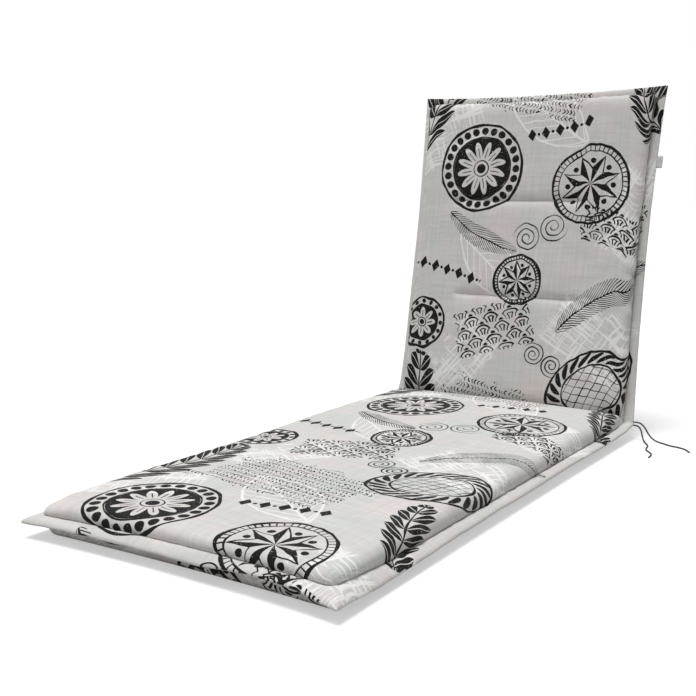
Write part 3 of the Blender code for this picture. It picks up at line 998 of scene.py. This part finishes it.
def smoothRoute(points, step):
    spots = [Vector(p) for p in points]
    padded = [2 * spots[0] - spots[1]] + spots + [2 * spots[-1] - spots[-2]]
    fine = []
    for before, start, end, after in zip(padded, padded[1:], padded[2:], padded[3:]):
        for k in range(16):
            t = k / 16
            bent = (2 * before - 5 * start + 4 * end - after) * t ** 2
            bent += (3 * start - before - 3 * end + after) * t ** 3
            fine.append(0.5 * (2 * start + (end - before) * t + bent))
    fine.append(spots[-1])
    travelled = [0.0]
    for start, end in zip(fine, fine[1:]):
        travelled.append(travelled[-1] + (end - start).length)
    count = round(travelled[-1] / step)
    route, at = [], 0
    for k in range(count + 1):
        wanted = travelled[-1] * k / count
        while at < len(fine) - 2 and travelled[at + 1] < wanted:
            at += 1
        span = travelled[at + 1] - travelled[at]
        route.append(fine[at].lerp(fine[at + 1], (wanted - travelled[at]) / span))
    return route, travelled[-1]


def tieCord():
    material, shader = principled("tie_cord", 0.8)
    tree = material.node_tree
    start = Wire(tree, None)
    flat = Vectors(tree, start.make("ShaderNodeUVMap", {"uv_map": "cord"}).socket)
    x, y, _ = flat.parts()
    # Painted shade: the plait's raised strands are painted lighter and its grooves darker, following the
    # cord's own relief, over a random fibre fuzz
    first = (x + y / tie["plait"]) * (2 * math.pi * 4)
    second = (x - y / tie["plait"]) * (2 * math.pi * 4)
    plaitShade = first.maths("SINE", first) * second.maths("SINE", second)
    fuzz = flat.scaled(40.0, 900.0).grain(1.0, 2.0)
    light = tuple(c * 2.1 for c in tie["colour"])
    colour = blended((plaitShade * 0.3 + fuzz).between(0.25, 0.85), tie["colour"], light)
    tree.links.new(colour.socket, shader.inputs["Base Color"])
    return material


def makeTie(name, node, route, material):
    corner = padPlace + Vector((pad["half"], pad["seatLength"], 0))
    path, length = smoothRoute([corner + Vector(p) for p in route], tie["ring"])
    bm = bmesh.new()
    radius = tie["diameter"] / 2
    ring = bmesh.ops.create_circle(bm, cap_ends=False, segments=tie["sides"], radius=radius)["verts"]
    flat = bm.loops.layers.uv.new("cord")
    angles = [2 * math.pi * k / tie["sides"] for k in range(tie["sides"])]
    order = sorted(ring, key=lambda v: math.atan2(v.co.y, v.co.x) % (2 * math.pi))
    edges = list({e for v in ring for e in v.link_edges})
    rings = [order]
    for k in range(1, len(path)):
        made = bmesh.ops.extrude_edge_only(bm, edges=edges)["geom"]
        edges = [g for g in made if isinstance(g, bmesh.types.BMEdge) and all(v in made for v in g.verts)]
        matched = []
        for old in rings[-1]:
            matched.append(next(e.other_vert(old) for e in old.link_edges
                                if e.other_vert(old) in made and e.other_vert(old) not in rings[-1]))
        rings.append(matched)
    side = Vector((0, 0, 1))
    for k, verts in enumerate(rings):
        ahead = path[min(k + 1, len(path) - 1)] - path[max(k - 1, 0)]
        ahead.normalize()
        side = (side - ahead * side.dot(ahead)).normalized()
        other = ahead.cross(side)
        run = length * k / (len(rings) - 1)
        for angle, vertex in zip(angles, verts):
            share = angle / (2 * math.pi)
            turn = run / tie["plait"]
            lump = math.sin(2 * math.pi * 4 * (share + turn)) * math.sin(2 * math.pi * 4 * (share - turn))
            out = radius - tie["relief"] * (1 - lump)
            vertex.co = path[k] + (side * math.cos(angle) + other * math.sin(angle)) * out
    for verts in (rings[0], rings[-1]):
        bm.faces.new(verts)
    bmesh.ops.recalc_face_normals(bm, faces=bm.faces[:])
    where = {vertex: (i / tie["sides"], length * k / (len(rings) - 1))
             for k, verts in enumerate(rings) for i, vertex in enumerate(verts)}
    for face in bm.faces:
        spots = [where[loop.vert] for loop in face.loops]
        wraps = max(s[0] for s in spots) - min(s[0] for s in spots) > 0.5
        for loop, (around, run) in zip(face.loops, spots):
            loop[flat].uv = (around + 1 if wraps and around < 0.5 else around, run)
    piece = finished(bm, name, node, material)
    [tuple(p) for p in path[::6] + [path[-1]]]
    print(name, "length", round(length, 4))
    return piece


def makeCamera():
    camera = bpy.data.cameras.new("view")
    camera.lens = studio["lens"]
    camera.sensor_width = studio["sensor"]
    camera.clip_start = 0.02
    eye = bpy.data.objects.new("view", camera)
    eye.location = padPlace + Vector(studio["cameraPlace"]) + Vector((0, 0, pad["underside"]))
    eye.rotation_euler = Euler([math.radians(a) for a in studio["cameraTurn"]])
    bpy.context.scene.collection.objects.link(eye)
    bpy.context.scene.camera = eye
    print("camera at", tuple(round(v, 4) for v in eye.location))


lights = [
    {"name": "key", "kind": "SUN", "from": (-0.3, -0.55, 4.2), "to": (0, 0, 0), "angle": 22, "power": 2.48},
    {"name": "window", "kind": "AREA", "from": (-1.5, -0.9, 2.2), "to": (0, 0.1, 0.1), "size": 1.4,
     "power": 3.0},
]


def makeStudio():
    bm = bmesh.new()
    bmesh.ops.create_grid(bm, x_segments=1, y_segments=1, size=studio["floorSize"] / 2)
    mesh = bpy.data.meshes.new("floor")
    bm.to_mesh(mesh)
    bm.free()
    material, shader = principled("floor", 0.9)
    seen = Wire(material.node_tree, None).make("ShaderNodeLightPath")
    pale = blended(seen, studio["floorBounce"], studio["floorColour"])
    glow = blended(seen, (0, 0, 0), studio["floorGlow"])
    material.node_tree.links.new(pale.socket, shader.inputs["Base Color"])
    material.node_tree.links.new(glow.socket, shader.inputs["Emission Color"])
    shader.inputs["Emission Strength"].default_value = 1.0
    mesh.materials.append(material)
    floor = bpy.data.objects.new("floor", mesh)
    bpy.context.scene.collection.objects.link(floor)
    for entry in lights:
        light = bpy.data.lights.new(entry["name"], entry["kind"])
        light.energy = entry["power"]
        if entry["kind"] == "SUN":
            light.angle = math.radians(entry["angle"])
        else:
            light.size = entry["size"]
        holder = bpy.data.objects.new(entry["name"], light)
        holder.location = entry["from"]
        aim = Vector(entry["to"]) - Vector(entry["from"])
        holder.rotation_euler = aim.to_track_quat("-Z", "Y").to_euler()
        bpy.context.scene.collection.objects.link(holder)
    # The backdrop shows white, and lights the room more dimly than it looks
    world = bpy.data.worlds.new("studio")
    world.use_nodes = True
    tree = world.node_tree
    sky = tree.nodes["Background"]
    sky.inputs["Color"].default_value = (*studio["worldColour"], 1)
    start = Wire(tree, None)
    seen = start.make("ShaderNodeLightPath")
    strength = seen * (studio["backdrop"] - studio["worldStrength"]) + studio["worldStrength"]
    tree.links.new(strength.socket, sky.inputs["Strength"])
    bpy.context.scene.world = world
    bpy.context.scene.view_settings.view_transform = "Standard"
    bpy.context.scene.view_settings.look = "None"
    print("studio ready")


makeCamera()
tieMaterial = tieCord()
lowerTie = makeTie("lower_tie_cord", "lower_tie", lowerRoute, tieMaterial)
upperTie = makeTie("upper_tie_cord", "upper_tie", upperRoute, tieMaterial)
makeStudio()
cushion = makeCushion()
sideTab = makeLabel()
quiltStitches = makeStitches()
